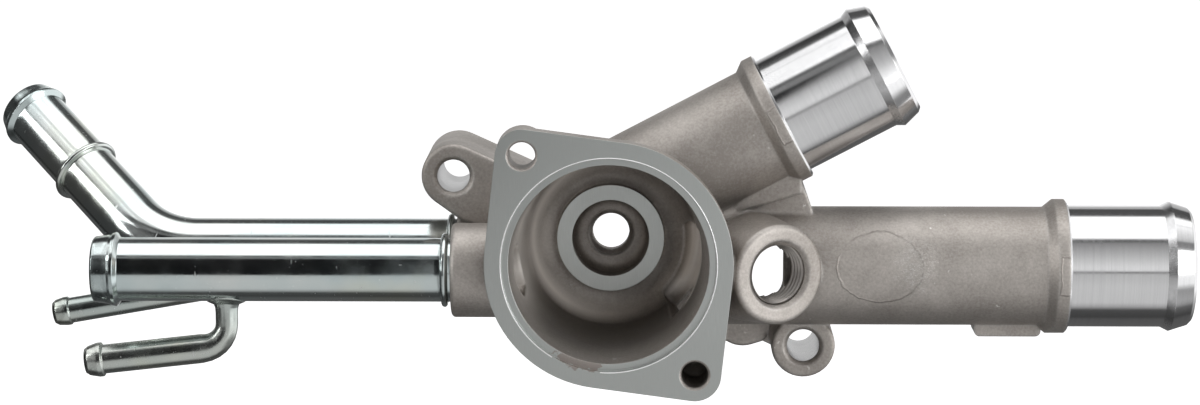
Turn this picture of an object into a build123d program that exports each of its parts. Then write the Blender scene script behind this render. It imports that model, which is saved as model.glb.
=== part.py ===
from build123d import *
from math import cos, radians, sin, tan
import os

# Coolant water outlet: one aluminium casting and four plated steel tubes, in millimetres.
# The origin is the centre of the thermostat seat on the machined front face.
# X runs along the straight arm, Y runs from the front face to the engine, Z is up.

# Whole casting
body_depth = 62.0

# Thermostat flange
seat_dia = 56.0
seat_depth = 1.6
flange_dia = 64.8
flange_thick = 5.5
lug_radius = 6.9
lug_thick = 9.5
blind_lug_length = 21.0
cover_bolt_circle = 73.0
cover_bolt_angle = 128.0
cover_thread_core = 7.0
blind_hole_depth = 16.0
hole_chamfer = 0.6

# Thermostat chamber
chamber_mouth_dia = 52.4
chamber_floor_dia = 45.0
chamber_depth = 49.0
floor_radius = 9.0
chamber_wall = 3.3
back_round = 4.0

# Bypass valve seat on the chamber floor
valve_seat_dia = 29.3
valve_seat_height = 3.0
valve_cup_dia = 21.0
valve_cup_depth = 8.5
valve_cup_radius = 3.0
bypass_dia = 10.1
bypass_flare_dia = 12.5
bypass_wall = 3.6

# Hose arms and turned necks
arm_dia = 31.8
arm_bore = 25.8
arm_depth = 32.0
straight_arm_height = -5.0
straight_collar_reach = 122.0
raised_arm_height = 11.35
raised_arm_angle = 27.7
raised_collar_reach = 52.3
raised_inlet_dia = 19.0
raised_inlet_step = 0.4
raised_inlet_start = 8.0
raised_bore_start = 24.0
collar_dia = 36.0
collar_width = 5.4
collar_blend = 2.6
neck_dia = 32.6
neck_length = 33.2
neck_barb_dia = 34.8
neck_barb_setback = 5.6
neck_barb_rise = 2.2
neck_end_dia = 31.8
neck_end_round = 0.9
shoulder_chamfer = 0.5

# Cast radii between the chamber, the arms, the sleeves and the web
arm_root_round = 3.0
sleeve_root_round = 2.5
web_root_round = 1.5

# Web in the fork and pad under the straight arm
web_reach = 52.0
web_thick = 11.6
web_rib_proud = 1.2
web_rib_start = 33.4
web_rib_low = 10.2
web_rib_slope = 17.0
pad_start = 97.6
pad_end = 115.4
pad_width = 9.0
pad_height = 2.6

# Sensor boss
sensor_x = 44.7
sensor_depth = 8.8
sensor_height = -3.7
sensor_angle = 28.0
sensor_boss_dia = 26.2
sensor_boss_root_dia = 29.0
sensor_boss_length = 15.0
sensor_thread_core = 16.4
sensor_bore_length = 22.0
sensor_boss_round = 1.2

# Long bolt ears
left_ear_x = -42.0
left_ear_height = 19.0
right_ear_x = 52.1
right_ear_height = -27.0
ear_dia = 17.2
ear_length = 30.5
ear_bore = 8.7
ear_chamfer = 1.1
ear_round = 1.0

# Engine flange and port
engine_flange_thick = 8.0
port_x = 27.5
port_height = -9.0
port_dia = 33.6
port_side_x = 40.5
port_side_dia = 17.0
port_side_top = -1.0
port_side_low = -15.0
port_land = 4.0
port_front_wall = 3.3
port_front_round = 1.5
lobe_x = 36.3
lobe_height = -22.4
lobe_dia = 16.4
lobe_corner_x = 40.3
lobe_corner_height = -26.4
lobe_corner_dia = 6.4
collector_width = 19.8
collector_round = 6.0
ear_bar_inset = 1.6
ear_web_foot_x = -39.4
ear_web_foot_height = 8.5
ear_web_foot_dia = 3.2

# Kidney recess in the chamber's floor corner, and its way to the collector
kidney_front = 22.5
kidney_edge_radius = 20.2
kidney_edge_depth = 46.8
kidney_outer_radius = 27.2
kidney_belly_depth = 37.0
kidney_back = 48.6
kidney_top_angle = 13.0
kidney_low_angle = -47.5
kidney_end_round = 3.0
kidney_way_dia = 6.6
kidney_way_depth = 35.0
kidney_way_height = 4.3

# Tube sleeves on the casting
sleeve_dia = 25.0
sleeve_reach = 41.8
sleeve_round = 1.2
tube_seat_depth = 8.5
front_tube_depth = 20.0
front_tube_height = -4.5
rear_tube_depth = 50.0
rear_tube_height = -3.8
heater_port_x = -28.0
heater_port_dia = 9.0
heater_way_dia = 8.0
heater_port_overrun = 1.0
heater_port_land = 4.0

# Steel heater tubes
tube_dia = 16.9
tube_wall = 1.1
tube_bead_dia = 19.7
tube_bead_width = 1.7
tube_bead_gap = 1.0
front_tube_end = 137.1
barb_length = 6.2
barb_end_dia = 16.1
barb_step = 1.0

# Bent rear tube
rear_corner_x = 124.7
rear_bend_radius = 25.0
rear_bend_angle = 50.0
rear_bend_roll = 45.0
rear_mid_bead = 35.0
rear_tube_run = 64.8

# Small tubes
small_wall = 0.8
bulb_step = 0.5
braze_height = 2.2
braze_spread = 1.3
lower_dia = 7.8
lower_bulb_dia = 9.2
lower_bulb_length = 5.0
lower_bend_radius = 7.0
lower_branch_x = 102.7
lower_drop = 12.2
lower_end_x = 139.8
lower_slope = 6.4
rear_small_dia = 7.1
rear_small_bulb_dia = 8.0
rear_small_bulb_length = 4.8
rear_small_bend_radius = 5.4
rear_branch_x = 98.0
rear_branch_roll = 45.0
rear_drop = 5.8
rear_small_end_x = 155.3
rear_small_slope = 9.8

ear_front_y = body_depth - ear_length
tube_stop_x = -(sleeve_reach - tube_seat_depth)
straight_start = (0, arm_depth, straight_arm_height)
raised_start = (0, arm_depth, raised_arm_height)
raised_dir = (cos(radians(raised_arm_angle)), 0, sin(radians(raised_arm_angle)))
raised_side = (-raised_dir[2], 0, raised_dir[0])
rear_branch_down = (0, cos(radians(rear_branch_roll)), -sin(radians(rear_branch_roll)))


def at_depth(sketch, y):
    """Places a sketch drawn in X and Z on the plane at depth y."""
    plane = Plane(origin=(0, y, 0), x_dir=(1, 0, 0), z_dir=(0, -1, 0))
    return plane * sketch


def slab(sketch, y0, y1):
    """Extrudes a sketch drawn in X and Z from depth y0 to depth y1."""
    return extrude(at_depth(sketch, y0), amount=-(y1 - y0))


def bore_y(x, z, dia, y0, y1):
    """Cylinder along Y from depth y0 to depth y1."""
    return slab(Pos(x, z) * Circle(dia / 2), y0, y1)


def axis_plane(start, direction):
    """Plane that holds an axis: its X runs along the axis, its Y is the radius."""
    side = (0, 1, 0) if abs(direction[1]) < 0.9 else (1, 0, 0)
    return Plane(origin=start, x_dir=direction, z_dir=Vector(*direction).cross(Vector(*side)))


def turned(points, start, direction):
    """Turns a closed outline of (along, radius) points about an axis."""
    outline = make_face(Polyline(*points, close=True))
    return revolve(axis_plane(start, direction) * outline, axis=Axis(start, direction), revolution_arc=360)


def lug_centre(side):
    """Centre of a cover bolt lug: side 1 is the upper left one, -1 the lower right one."""
    angle = radians(cover_bolt_angle)
    reach = side * cover_bolt_circle / 2
    return reach * cos(angle), reach * sin(angle)


def hull_of(*circles):
    """Hull round circles given as (x, z, radius)."""
    edges = ShapeList()
    for x, z, radius in circles:
        edges += (Pos(x, z) * Circle(radius)).edges()
    return make_hull(edges)


def thermostat_flange():
    """Flat plate round the seat, with a thicker pad at each cover bolt."""
    up = lug_centre(1)
    low = lug_centre(-1)
    outline = hull_of((0, 0, flange_dia / 2), (*up, lug_radius), (*low, lug_radius))
    plate = slab(outline, 0, flange_thick)
    pad = bore_y(*up, 2 * lug_radius, 0, lug_thick)
    blind_pad = bore_y(*low, 2 * lug_radius, 0, blind_lug_length)
    return plate + pad + blind_pad


def chamber_body():
    """Outside of the drafted thermostat chamber, with a rounded back."""
    mouth = chamber_mouth_dia / 2 + chamber_wall
    back = chamber_floor_dia / 2 + chamber_wall
    depth = chamber_depth + chamber_wall
    outline = [(0, 0), (0, mouth), (depth, back), (depth, 0)]
    solid = turned(outline, (0, 0, 0), (0, 1, 0))
    rim = solid.edges().filter_by(GeomType.CIRCLE).sort_by(Axis.Y)[-1]
    return fillet(rim, back_round)


def port_outline(extra):
    """Engine port, round on the left and flat on the right, made larger all round by an extra width."""
    side = port_side_dia / 2 + extra
    return hull_of(
        (port_x, port_height, port_dia / 2 + extra),
        (port_side_x, port_side_top, side),
        (port_side_x, port_side_low, side),
    )


def port_body():
    """Wall round the engine port, with the cast lobe under the straight arm."""
    front = chamber_depth + chamber_wall - port_front_wall
    lobe = hull_of(
        (lobe_x, lobe_height, lobe_dia / 2),
        (lobe_corner_x, lobe_corner_height, lobe_corner_dia / 2),
        (lobe_corner_x, lobe_height, lobe_corner_dia / 2),
    )
    wall = slab(port_outline(port_land) + lobe, front, body_depth)
    return fillet(wall.edges().group_by(Axis.Y)[0], port_front_round)


def engine_flange():
    """Flat flange on the engine side: port wall, bypass boss and the bar between the ears."""
    bypass_edge = valve_cup_dia / 2 + chamber_wall
    left = (left_ear_x, left_ear_height, ear_dia / 2)
    right = (right_ear_x, right_ear_height, ear_dia / 2)
    bar = hull_of(left, (right_ear_x, right_ear_height, ear_dia / 2 - ear_bar_inset))
    heater = Pos(heater_port_x, rear_tube_height) * Circle(heater_port_dia / 2 + heater_port_land)
    hub = Pos(0, 0) * Circle(bypass_edge)
    plate = slab(bar + hub + heater, body_depth - engine_flange_thick, body_depth)
    foot = (ear_web_foot_x, ear_web_foot_height, ear_web_foot_dia / 2)
    ears = []
    for outline in (hull_of(left, (0, 0, ear_dia / 2), foot), hull_of(right)):
        ear = slab(outline, ear_front_y, body_depth)
        ears.append(fillet(ear.edges().group_by(Axis.Y)[0], ear_round))
    hub_column = bore_y(0, 0, 2 * bypass_edge, chamber_depth, body_depth)
    return plate + ears[0] + ears[1] + hub_column + port_body()


def hose_arm(start, direction, reach):
    """Solid arm with its cast collar and the turned neck with a barb, root at the start point."""
    arm = arm_dia / 2
    collar = collar_dia / 2
    neck = neck_dia / 2
    barb = reach + neck_length - neck_barb_setback
    end = reach + neck_length
    root = [(0, 0), (0, arm), (reach - collar_width - collar_blend, arm)]
    cast = [(reach - collar_width, collar), (reach - shoulder_chamfer, collar)]
    shoulder = [(reach, collar - shoulder_chamfer), (reach, neck)]
    crest = [(barb - neck_barb_rise, neck), (barb, neck_barb_dia / 2)]
    tip = [(end - neck_end_round, neck_end_dia / 2), (end, neck_end_dia / 2 - neck_end_round), (end, 0)]
    return turned(root + cast + shoulder + crest + tip, start, direction)


def straight_arm():
    """Arm that runs level to the right."""
    return hose_arm(straight_start, (1, 0, 0), straight_collar_reach)


def raised_arm():
    """Arm that rises to the right."""
    return hose_arm(raised_start, raised_dir, raised_collar_reach)


def sensor_frame():
    """Plane on the sensor boss face, its normal pointing out of the boss."""
    turn = radians(sensor_angle)
    normal = (sin(turn), -cos(turn), 0)
    return Plane(origin=(sensor_x, sensor_depth, sensor_height), x_dir=(cos(turn), sin(turn), 0), z_dir=normal)


def sensor_boss():
    """Drafted round boss, turned towards the straight arm."""
    face = sensor_frame()
    slope = (sensor_boss_root_dia - sensor_boss_dia) / 2 / sensor_boss_length
    cone = Cone(
        sensor_boss_root_dia / 2 + slope,
        sensor_boss_dia / 2,
        sensor_boss_length,
        align=(Align.CENTER, Align.CENTER, Align.MAX),
    )
    rim = cone.edges().filter_by(GeomType.CIRCLE).sort_by(Axis.Z)[-1]
    return face * fillet(rim, sensor_boss_round)


def tube_sleeves():
    """The two round sleeves that hold the steel tubes."""
    sleeves = []
    for y, z in ((front_tube_depth, front_tube_height), (rear_tube_depth, rear_tube_height)):
        rod = Pos(-sleeve_reach, y, z) * Rot(0, 90, 0) * Cylinder(
            sleeve_dia / 2, sleeve_reach, align=(Align.CENTER, Align.CENTER, Align.MIN)
        )
        rim = rod.edges().filter_by(GeomType.CIRCLE).sort_by(Axis.X)[0]
        sleeves.append(fillet(rim, sleeve_round))
    return sleeves[0] + sleeves[1]


def arm_web():
    """Flat web that fills the fork between the two arms."""
    rise = tan(radians(raised_arm_angle))
    tip = web_reach
    corners = [
        (0, straight_arm_height),
        (tip + 2.0, straight_arm_height),
        (tip + 2.0, straight_arm_height + arm_dia / 2),
        (tip - 2.4, raised_arm_height + rise * tip - arm_dia / 2 / cos(radians(raised_arm_angle)) + 1.5),
        (tip - 2.4, raised_arm_height + rise * (tip - 2.4)),
        (0, raised_arm_height),
    ]
    profile = make_face(Polyline(*corners, close=True))
    return slab(profile, arm_depth - web_thick / 2, arm_depth + web_thick / 2)


def web_rib():
    """Proud upper part of the web, under the raised arm, with a sloping lower edge."""
    tip = web_reach - 1.0
    rise = tan(radians(web_rib_slope))
    corners = [
        (web_rib_start, web_rib_low),
        (tip, web_rib_low + rise * (tip - web_rib_start)),
        (tip, raised_arm_height + tan(radians(raised_arm_angle)) * tip),
        (web_rib_start, raised_arm_height + tan(radians(raised_arm_angle)) * web_rib_start),
    ]
    profile = make_face(Polyline(*corners, close=True))
    front = arm_depth - web_thick / 2
    return slab(profile, front - web_rib_proud, front + web_rib_proud)


def arm_pad():
    """Small cast pad under the straight arm, beside the collar."""
    top = straight_arm_height
    bottom = straight_arm_height - arm_dia / 2 - pad_height
    block = Pos((pad_start + pad_end) / 2, arm_depth, (top + bottom) / 2) * Box(
        pad_end - pad_start, pad_width, top - bottom
    )
    corners = block.edges().filter_by(Axis.Y).group_by(Axis.Z)[0]
    return fillet(corners, 1.5)


def chamber_cavity():
    """Thermostat seat and drafted chamber with a rounded floor."""
    seat = seat_dia / 2
    mouth = chamber_mouth_dia / 2
    floor = chamber_floor_dia / 2
    outline = [(-1, 0), (-1, seat), (seat_depth, seat), (seat_depth, mouth), (chamber_depth, floor)]
    solid = turned(outline + [(chamber_depth, 0)], (0, 0, 0), (0, 1, 0))
    rim = solid.edges().filter_by(GeomType.CIRCLE).sort_by(Axis.Y)[-1]
    return fillet(rim, floor_radius)


def valve_seat():
    """Raised ring that the thermostat's bypass valve closes on."""
    face = chamber_depth - valve_seat_height
    ring = bore_y(0, 0, valve_seat_dia, face, chamber_depth + chamber_wall)
    return ring


def valve_cup():
    """Cup inside the valve seat, flared bypass bore and its way out to the engine face."""
    face = chamber_depth - valve_seat_height
    cup = bore_y(0, 0, valve_cup_dia, face - 1, face + valve_cup_depth)
    rim = cup.edges().filter_by(GeomType.CIRCLE).sort_by(Axis.Y)[-1]
    cup = fillet(rim, valve_cup_radius)
    wall_start = body_depth - bypass_wall
    flare = (bypass_flare_dia - bypass_dia) / 2
    outline = [
        (face + valve_cup_depth - 1, 0),
        (face + valve_cup_depth - 1, bypass_flare_dia / 2),
        (wall_start - flare, bypass_flare_dia / 2),
        (wall_start, bypass_dia / 2),
        (body_depth + 1, bypass_dia / 2),
        (body_depth + 1, 0),
    ]
    return cup + turned(outline, (0, 0, 0), (0, 1, 0))


def arm_bore_cut(start, direction, reach, from_along):
    """Bore of a hose arm, open at the neck and into the chamber."""
    half = arm_bore / 2
    end = reach + neck_length
    outline = [(from_along, 0), (from_along, half), (end + 1, half), (end + 1, 0)]
    return turned(outline, start, direction)


def straight_bore():
    """Bore of the level arm, from the collector to the neck."""
    return arm_bore_cut(straight_start, (1, 0, 0), straight_collar_reach, port_x + 2)


def raised_bore():
    """Bore of the raised arm outside the chamber."""
    return arm_bore_cut(raised_start, raised_dir, raised_collar_reach, raised_bore_start)


def raised_inlet():
    """Narrower way from the chamber into the raised arm, level with the top of its bore."""
    start = along(raised_start, raised_side, (arm_bore - raised_inlet_dia) / 2 - raised_inlet_step)
    half = raised_inlet_dia / 2
    end = raised_bore_start + 1
    outline = [(raised_inlet_start, 0), (raised_inlet_start, half), (end, half), (end, 0)]
    return turned(outline, start, raised_dir)


def port_cavity():
    """Engine port and the collector that leads from it to the sensor and the straight arm."""
    floor = chamber_depth + chamber_wall
    hub = bore_y(0, 0, valve_cup_dia + 2 * chamber_wall, floor - 1, body_depth + 2)
    port = slab(port_outline(0), floor, body_depth + 1) - hub
    half = arm_bore / 2
    centre = (port_x + collector_width / 2, straight_arm_height)
    hall = slab(Pos(*centre) * RectangleRounded(collector_width, 2 * half, collector_round), arm_depth, floor + 1)
    return port + hall


def kidney_plan():
    """Outline of the recess as seen from the front, with round ends."""
    inner = kidney_edge_radius - 0.4
    outer = kidney_outer_radius + 0.4
    sweep = kidney_top_angle - kidney_low_angle
    arcs = CenterArc((0, 0), inner, kidney_low_angle, sweep) + CenterArc((0, 0), outer, kidney_low_angle, sweep)
    ends = []
    for degrees in (kidney_low_angle, kidney_top_angle):
        angle = radians(degrees)
        ends.append(Line((inner * cos(angle), inner * sin(angle)), (outer * cos(angle), outer * sin(angle))))
    return fillet(make_face(arcs + ends).vertices(), kidney_end_round)


def kidney_recess():
    """Curved recess cut into the chamber's wall and floor corner, round in section."""
    back = (kidney_outer_radius + kidney_edge_radius) / 2
    inner = kidney_edge_radius - 1
    edge = (kidney_edge_radius, kidney_edge_depth)
    front = (chamber_floor_dia / 2, kidney_front)
    curve = Spline(edge, (back, kidney_back), (kidney_outer_radius, kidney_belly_depth), front)
    sides = Polyline(front, (inner, kidney_front), (inner, kidney_edge_depth), edge)
    profile = make_face(curve + sides)
    start = Plane.XY.rotated((0, -kidney_low_angle, 0))
    sector = revolve(start * profile, axis=Axis.Y, revolution_arc=kidney_low_angle - kidney_top_angle)
    return sector & slab(kidney_plan(), kidney_front - 1, kidney_back + 1)


def kidney_way():
    """Round way from the recess into the collector, behind the seat's rim."""
    start = kidney_edge_radius + 2
    return along_x(kidney_way_dia, start, port_x + collector_round, kidney_way_depth, kidney_way_height)


def sensor_bore():
    """Sensor hole with a chamfered mouth, on into the straight arm."""
    face = sensor_frame()
    radius = sensor_thread_core / 2
    bore = Cylinder(radius, sensor_bore_length, align=(Align.CENTER, Align.CENTER, Align.MAX))
    lead = Cone(radius, radius + 1.0, 1.0, align=(Align.CENTER, Align.CENTER, Align.MAX))
    return face * bore + face * lead


def along_x(dia, x0, x1, y, z):
    """Cylinder along X from x0 to x1."""
    rod = Cylinder(dia / 2, x1 - x0, align=(Align.CENTER, Align.CENTER, Align.MIN))
    return Pos(x0, y, z) * Rot(0, 90, 0) * rod


def tube_bores():
    """Seats for the two steel tubes, the front way into the chamber and the rear one to the engine."""
    inside = tube_dia - 2 * tube_wall
    front = along_x(tube_dia, -sleeve_reach - 1, tube_stop_x, front_tube_depth, front_tube_height)
    front += along_x(inside, tube_stop_x - 1, -chamber_floor_dia / 2, front_tube_depth, front_tube_height)
    seat = along_x(tube_dia, -sleeve_reach - 1, tube_stop_x, rear_tube_depth, rear_tube_height)
    way = along_x(heater_way_dia, tube_stop_x - 1, heater_port_x, rear_tube_depth, rear_tube_height)
    port_start = rear_tube_depth - heater_way_dia / 2 - heater_port_overrun
    exit_way = bore_y(heater_port_x, rear_tube_height, heater_port_dia, port_start, body_depth + 1)
    return [front, seat, way, exit_way]


def bolt_holes():
    """Ear bores with chamfered mouths, and the two cover bolt holes."""
    cuts = []
    for x, z in ((left_ear_x, left_ear_height), (right_ear_x, right_ear_height)):
        bore = [(ear_front_y - 1, 0), (ear_front_y - 1, ear_bore / 2 + ear_chamfer + 1)]
        bore += [(ear_front_y + ear_chamfer, ear_bore / 2), (body_depth + 1, ear_bore / 2), (body_depth + 1, 0)]
        cuts.append(turned(bore, (x, 0, z), (0, 1, 0)))
    for side, depth in ((1, lug_thick + 1), (-1, blind_hole_depth)):
        x, z = lug_centre(side)
        core = cover_thread_core / 2
        drill = [(-1, 0), (-1, core + hole_chamfer + 1), (hole_chamfer, core), (depth, core)]
        drill += [(depth + core * 0.6, 0)]
        cuts.append(turned(drill, (x, 0, z), (0, 1, 0)))
    return cuts


def seams(before, added, after):
    """Edges where an added solid meets the casting."""
    return ShapeList(new_edges(before, added, combined=after))


def cast_outside():
    """Outside of the casting, its main seams rounded as cast."""
    arms = chamber_body() + straight_arm() + raised_arm()
    roots = arms.edges().filter_by(GeomType.BSPLINE) + arms.edges().filter_by(GeomType.ELLIPSE)
    arms = fillet(roots, arm_root_round)
    sleeves = tube_sleeves()
    body = arms + sleeves
    front = [edge for edge in seams(arms, sleeves, body) if edge.center().Y < arm_depth]
    body = fillet(front, sleeve_root_round)
    web = arm_web()
    joined = body + web
    sides = seams(body, web, joined).filter_by(GeomType.LINE)
    joined = fillet([edge for edge in sides if edge.length > 2 * web_root_round], web_root_round)
    span = 2 * (straight_collar_reach + neck_length)
    behind = Pos(0, body_depth + sleeve_dia, 0) * Box(span, 2 * sleeve_dia, span)
    fittings = web_rib() + sensor_boss() + arm_pad()
    return joined + engine_flange() + fittings + thermostat_flange() - behind


def cast_housing():
    """The casting with all of its bores and passages."""
    housing = cast_outside() - chamber_cavity() + valve_seat() - valve_cup()
    housing = housing - straight_bore() - raised_bore() - raised_inlet()
    housing = housing - port_cavity() - sensor_bore() - kidney_recess() - kidney_way()
    for cut in tube_bores() + bolt_holes():
        housing = housing - cut
    return housing


def along(start, direction, distance):
    """Point at a distance from the start."""
    return tuple(a + distance * b for a, b in zip(start, direction))


def bead(start, direction, at):
    """Rolled bead with a round top on a heater tube."""
    half = tube_bead_width / 2
    root = tube_dia / 2 - tube_wall / 2
    side = tube_bead_dia / 2 - half
    edges = [
        Line((at - half, root), (at - half, side)),
        ThreePointArc((at - half, side), (at, tube_bead_dia / 2), (at + half, side)),
        Line((at + half, side), (at + half, root)),
        Line((at + half, root), (at - half, root)),
    ]
    face = make_face(Curve() + edges)
    return revolve(axis_plane(start, direction) * face, axis=Axis(start, direction), revolution_arc=360)


def straight_pipe(start, direction, length, dia, wall):
    """Plain straight tube."""
    outer = dia / 2
    inner = outer - wall
    return turned([(0, inner), (0, outer), (length, outer), (length, inner)], start, direction)


def hose_end(start, direction, length, dia):
    """Straight tube that ends in a flared barb for a hose."""
    outer = dia / 2
    inner = outer - tube_wall
    crest = tube_bead_dia / 2
    tip = barb_end_dia / 2
    root = length - barb_length
    outside = [(0, outer), (root - barb_step, outer), (root, crest), (length - barb_step / 2, tip)]
    rim = [(length, tip - barb_step / 2), (length, tip - tube_wall)]
    inside = [(root + tube_wall / 2, crest - tube_wall), (root - barb_step + tube_wall / 2, inner)]
    return turned(outside + rim + inside + [(0, inner)], start, direction)


def bulb_end(start, direction, length, dia, bulb_dia, bulb_length):
    """Small straight tube that ends in a bulb for a hose."""
    outer = dia / 2
    crest = bulb_dia / 2
    root = length - bulb_length
    outside = [(0, outer), (root, outer), (root + bulb_step, crest), (root + 3 * bulb_step, crest)]
    tip = [(length - bulb_step, outer), (length, outer - bulb_step)]
    inner = outer - small_wall
    return turned(outside + tip + [(length, inner), (0, inner)], start, direction)


def bend(start, direction, turned_to, radius, dia, wall):
    """Tube bend from one direction to another, with the point where it ends."""
    into = Vector(*direction)
    out = Vector(*turned_to)
    angle = radians(into.get_angle(out))
    side = (out - into * cos(angle)).normalized()
    centre = Vector(*start) + side * radius
    ring = Circle(dia / 2) - Circle(dia / 2 - wall)
    plane = Plane(origin=start, x_dir=side, z_dir=into)
    axis = Axis(centre, into.cross(side))
    elbow = revolve(plane * ring, axis=axis, revolution_arc=into.get_angle(out))
    end = centre - side * (radius * cos(angle)) + into * (radius * sin(angle))
    return elbow, tuple(end)


def tangent_length(direction, turned_to, radius):
    """Distance from the corner of two runs to the end of the bend between them."""
    angle = radians(Vector(*direction).get_angle(Vector(*turned_to)))
    return radius * tan(angle / 2)


def front_tube():
    """Straight heater tube pressed into the front sleeve."""
    start = (tube_stop_x, front_tube_depth, front_tube_height)
    left = (-1, 0, 0)
    tube = hose_end(start, left, front_tube_end + tube_stop_x, tube_dia)
    at = tube_seat_depth + tube_bead_gap + tube_bead_width / 2
    return tube + bead(start, left, at)


def rear_tube():
    """Heater tube pressed into the rear sleeve, bent up and back towards the engine."""
    start = (tube_stop_x, rear_tube_depth, rear_tube_height)
    left = (-1, 0, 0)
    turn = radians(rear_bend_angle)
    roll = radians(rear_bend_roll)
    away = (-cos(turn), sin(turn) * cos(roll), sin(turn) * sin(roll))
    reach = rear_corner_x + tube_stop_x - tangent_length(left, away, rear_bend_radius)
    run = straight_pipe(start, left, reach, tube_dia, tube_wall)
    run += bead(start, left, tube_seat_depth + tube_bead_gap + tube_bead_width / 2)
    elbow, leg_start = bend(along(start, left, reach), left, away, rear_bend_radius, tube_dia, tube_wall)
    used = tangent_length(left, away, rear_bend_radius)
    leg = hose_end(leg_start, away, rear_tube_run - used, tube_dia)
    return run + elbow + leg + bead(leg_start, away, rear_mid_bead - used)


def small_branch(root, down, away, drop, length, dia, bend_radius, bulb_dia, bulb_length):
    """Small tube brazed to the side of a heater tube, bent once, with a bulb at its end."""
    used = tangent_length(down, away, bend_radius)
    surface = tube_dia / 2
    outer = dia / 2
    inner = outer - small_wall
    run_length = surface + drop - used
    run = straight_pipe(root, down, run_length, dia, small_wall)
    elbow, leg_start = bend(along(root, down, run_length), down, away, bend_radius, dia, small_wall)
    leg = bulb_end(leg_start, away, length - used, dia, bulb_dia, bulb_length)
    collar = [(0, inner), (0, outer + braze_spread + braze_height), (surface, outer + braze_spread)]
    collar += [(surface + braze_height, outer + 0.05), (surface + braze_height, inner)]
    main = Pos(*root) * Rot(0, 90, 0) * Cylinder(surface, 6 * dia)
    return run + elbow + leg + turned(collar, root, down) - main


def lower_small_tube():
    """Small tube under the front tube."""
    root = (-lower_branch_x, front_tube_depth, front_tube_height)
    slope = radians(lower_slope)
    away = (-cos(slope), 0, -sin(slope))
    length = (lower_end_x - lower_branch_x) / cos(slope)
    sizes = (lower_dia, lower_bend_radius, lower_bulb_dia, lower_bulb_length)
    return small_branch(root, (0, 0, -1), away, lower_drop, length, *sizes)


def rear_small_tube():
    """Small tube on the lower back side of the rear tube."""
    root = (-rear_branch_x, rear_tube_depth, rear_tube_height)
    slope = radians(rear_small_slope)
    away = (-cos(slope), 0, -sin(slope))
    length = (rear_small_end_x - rear_branch_x) / cos(slope)
    sizes = (rear_small_dia, rear_small_bend_radius, rear_small_bulb_dia, rear_small_bulb_length)
    return small_branch(root, rear_branch_down, away, rear_drop, length, *sizes)


def branch_hole(dia, x, y, z, down):
    """Hole in a heater tube where its small tube leaves it."""
    hole = dia / 2 - small_wall
    return turned([(0, 0), (0, hole), (tube_dia, hole), (tube_dia, 0)], (-x, y, z), down)


front_hole = branch_hole(lower_dia, lower_branch_x, front_tube_depth, front_tube_height, (0, 0, -1))
rear_hole = branch_hole(rear_small_dia, rear_branch_x, rear_tube_depth, rear_tube_height, rear_branch_down)
pieces = {
    "housing": cast_housing(),
    "front_tube": front_tube() - front_hole,
    "rear_tube": rear_tube() - rear_hole,
    "lower_small_tube": lower_small_tube(),
    "rear_small_tube": rear_small_tube(),
}
os.makedirs("parts", exist_ok=True)
for name, solid in pieces.items():
    print(name, round(solid.volume), "mm3")
    export_step(solid, "parts/" + name + ".step")
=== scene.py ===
import math

import bpy
import numpy as np
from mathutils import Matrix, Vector


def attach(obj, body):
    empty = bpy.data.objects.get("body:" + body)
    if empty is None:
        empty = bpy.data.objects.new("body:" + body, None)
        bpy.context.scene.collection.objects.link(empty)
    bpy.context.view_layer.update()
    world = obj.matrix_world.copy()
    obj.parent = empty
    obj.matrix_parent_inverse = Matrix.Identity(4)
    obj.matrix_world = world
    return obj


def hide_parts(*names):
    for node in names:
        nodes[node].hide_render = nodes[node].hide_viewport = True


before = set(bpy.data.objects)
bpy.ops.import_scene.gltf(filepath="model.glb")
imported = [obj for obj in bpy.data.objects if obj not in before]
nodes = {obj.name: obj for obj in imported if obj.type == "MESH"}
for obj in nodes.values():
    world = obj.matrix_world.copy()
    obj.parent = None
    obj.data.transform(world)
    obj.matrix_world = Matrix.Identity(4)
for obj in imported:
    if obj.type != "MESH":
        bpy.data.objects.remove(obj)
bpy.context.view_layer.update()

mm = 0.001
print("casting and tubes loaded")

# camera, fitted to the rims and parallel edges of the outlet
cameraFit = {
    "place": (0.010157, -0.830069, 0.140759),
    "tiltDegrees": 81.5,
    "panDegrees": 0.854,
    "lensMillimetres": 97.5,
}


def setCamera(fit):
    lens = bpy.data.cameras.new("photoCamera")
    lens.lens = fit["lensMillimetres"]
    lens.sensor_width = 36.0
    lens.clip_start = 0.05
    camera = bpy.data.objects.new("photoCamera", lens)
    camera.location = fit["place"]
    camera.rotation_euler = (math.radians(fit["tiltDegrees"]), 0, math.radians(fit["panDegrees"]))
    bpy.context.scene.collection.objects.link(camera)
    bpy.context.scene.camera = camera


setCamera(cameraFit)
bpy.context.scene.view_settings.view_transform = "Standard"
print("camera set")


# small helpers for node trees
def newMaterial(name):
    material = bpy.data.materials.new(name)
    material.use_nodes = True
    tree = material.node_tree
    return material, tree, tree.nodes["Principled BSDF"]


def addNode(tree, kind, **settings):
    node = tree.nodes.new(kind)
    for key, value in settings.items():
        setattr(node, key, value)
    return node


def feed(tree, source, target):
    tree.links.new(source, target)


def mathNode(tree, operation, first, second=None, clamp=False):
    node = addNode(tree, "ShaderNodeMath", operation=operation, use_clamp=clamp)
    for slot, value in enumerate((first, second)):
        if value is None:
            continue
        if isinstance(value, (int, float)):
            node.inputs[slot].default_value = value
        else:
            feed(tree, value, node.inputs[slot])
    return node.outputs[0]


def times(tree, first, *others):
    for other in others:
        first = mathNode(tree, "MULTIPLY", first, other)
    return first


def plus(tree, first, *others):
    for other in others:
        first = mathNode(tree, "ADD", first, other)
    return first


def distanceFrom(tree, value, centre):
    return mathNode(tree, "ABSOLUTE", mathNode(tree, "SUBTRACT", value, centre))


def hypotenuse(tree, first, second):
    return mathNode(tree, "SQRT", plus(tree, times(tree, first, first), times(tree, second, second)))


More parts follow.
